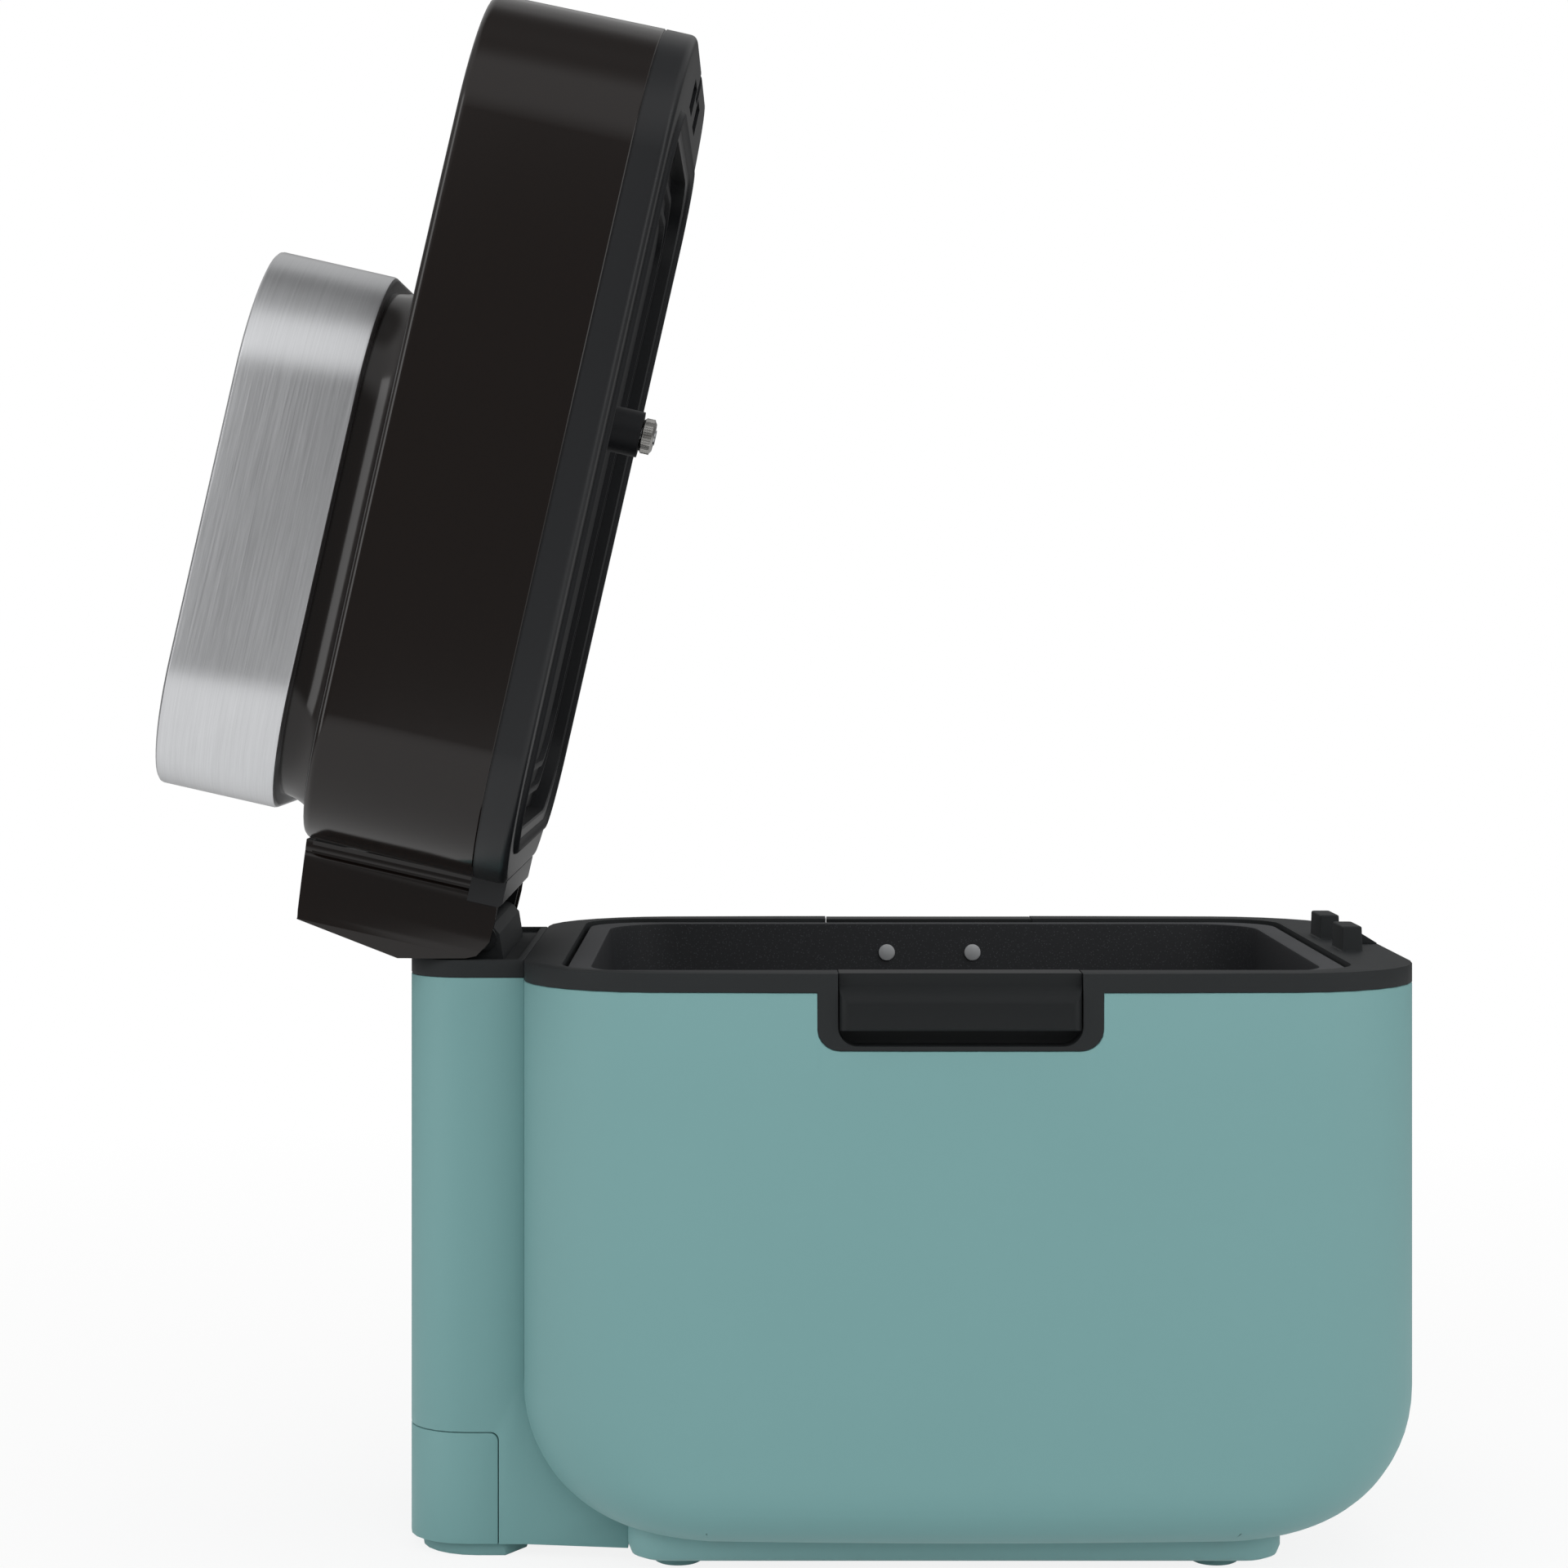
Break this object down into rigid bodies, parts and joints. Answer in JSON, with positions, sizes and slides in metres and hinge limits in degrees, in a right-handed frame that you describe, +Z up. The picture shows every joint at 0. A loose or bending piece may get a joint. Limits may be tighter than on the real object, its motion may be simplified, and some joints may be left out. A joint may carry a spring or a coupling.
{
  "type": "bread machine",
  "caption": "Countertop bread machine with a lift-out pan, a kneading paddle driven by a belt, a rear hinge column and an upswinging lid with a banded control head.",
  "frame": {"origin": "on the table plane, at the bottom centre of the whole machine's box with its lid up", "axes": "+X to the machine's front, +Z up, +Y across the machine towards its left side"},
  "size_m": [0.4616, 0.258, 0.575],
  "materials": {
    "teal_paint": "matt painted, fine grain",
    "teal_base": "matt moulded",
    "foot_rubber": "moulded",
    "black_plastic": "satin moulded",
    "grip_plastic": "satin moulded",
    "gloss_brown": "high gloss",
    "brushed_steel": "brushed along its length",
    "bright_steel": "turned",
    "sheet_steel": "rolled sheet",
    "sheet_aluminium": "pressed sheet",
    "cast_housing": "die cast",
    "motor_steel": "plated",
    "element_steel": "oxidised tube",
    "pan_coating": "speckled non-stick coating",
    "seal_rubber": "moulded silicone",
    "inner_plastic": "moulded",
    "black_glass": "polished",
    "circuit_board": "solder resist",
    "brass": "turned"
  },
  "bodies": {
    "base": {"body_shell": "teal_paint", "base_plate": "teal_base", "plinth_feet": "foot_rubber", "rear_foot": "foot_rubber", "column_shell": "teal_paint", "column_cover": "teal_paint", "column_cap": "black_plastic", "rim_frame": "black_plastic", "hinge_pedestal": "black_plastic", "interlock_posts": "black_plastic", "lid_catch": "black_plastic", "chamber_liner": "sheet_steel", "bake_heater": "element_steel", "heater_clips": "sheet_steel", "temperature_probe": "brass", "chassis_plate": "sheet_steel", "chassis_pillars": "sheet_aluminium", "bearing_housing": "cast_housing", "drive_bearings": "bright_steel", "shaft_seal": "seal_rubber", "motor_housing": "motor_steel", "drive_belt": "seal_rubber", "power_board": "circuit_board", "cord_gland": "black_plastic", "base_screws": "bright_steel"},
    "drive": {"drive_shaft": "bright_steel", "drive_coupling": "cast_housing", "drive_pulley": "inner_plastic"},
    "motor_rotor": {"motor_shaft": "bright_steel", "motor_pulley": "inner_plastic"},
    "pan": {"bread_pan": "pan_coating", "pan_base": "sheet_aluminium", "pan_handles": "grip_plastic", "handle_rivets": "bright_steel", "pan_bush": "brass"},
    "kneader": {"pan_shaft": "bright_steel", "pan_coupling": "cast_housing"},
    "paddle": {"kneading_paddle": "pan_coating"},
    "lid": {"lid_shell": "gloss_brown", "lid_trim": "black_plastic", "tail_cover": "gloss_brown", "hinge_arms": "sheet_steel", "hinge_pins": "bright_steel", "lid_gasket": "seal_rubber", "inner_cover": "inner_plastic", "heat_shield": "sheet_aluminium", "lid_heater": "element_steel", "fan_motor": "motor_steel", "cover_stud": "bright_steel", "head_neck": "gloss_brown", "head_band": "brushed_steel", "control_glass": "black_glass", "control_board": "circuit_board", "lid_switches": "inner_plastic"},
    "fan": {"circulation_fan": "sheet_aluminium"},
    "nut": {"thumb_nut": "bright_steel"}
  },
  "joints": [
    {"name": "lid_hinge", "type": "hinge", "parent": "base", "child": "lid", "pos_m": [-0.11183, 0, 0.2269], "axis": [0, -1, 0], "range_deg": [-77.2, 0]},
    {"name": "pan_lift", "type": "slide", "parent": "base", "child": "pan", "axis": [0, 0, 1], "range_m": [0, 0.1]},
    {"name": "drive_spin", "type": "hinge", "parent": "base", "child": "drive", "pos_m": [0.06307, 0, 0.04], "axis": [0, 0, 1], "continuous": true},
    {"name": "motor_spin", "type": "hinge", "parent": "base", "child": "motor_rotor", "pos_m": [0.14507, 0, 0.04], "axis": [0, 0, 1], "continuous": true},
    {"name": "kneader_spin", "type": "hinge", "parent": "pan", "child": "kneader", "pos_m": [0.06307, 0, 0.09], "axis": [0, 0, 1], "continuous": true},
    {"name": "paddle_lift", "type": "slide", "parent": "kneader", "child": "paddle", "axis": [0, 0, 1], "range_m": [0, 0.025]},
    {"name": "fan_spin", "type": "hinge", "parent": "lid", "child": "fan", "pos_m": [-0.10209, 0, 0.36005], "axis": [-0.9751, 0, 0.2215], "continuous": true},
    {"name": "nut_spin", "type": "hinge", "parent": "lid", "child": "nut", "pos_m": [-0.05214, 0, 0.41741], "axis": [-0.9751, 0, 0.2215], "continuous": true}
  ],
  "couplings": [
    {"joint": "motor_spin", "follows": "drive_spin", "ratio": 5},
    {"joint": "kneader_spin", "follows": "drive_spin", "ratio": 1}
  ]
}
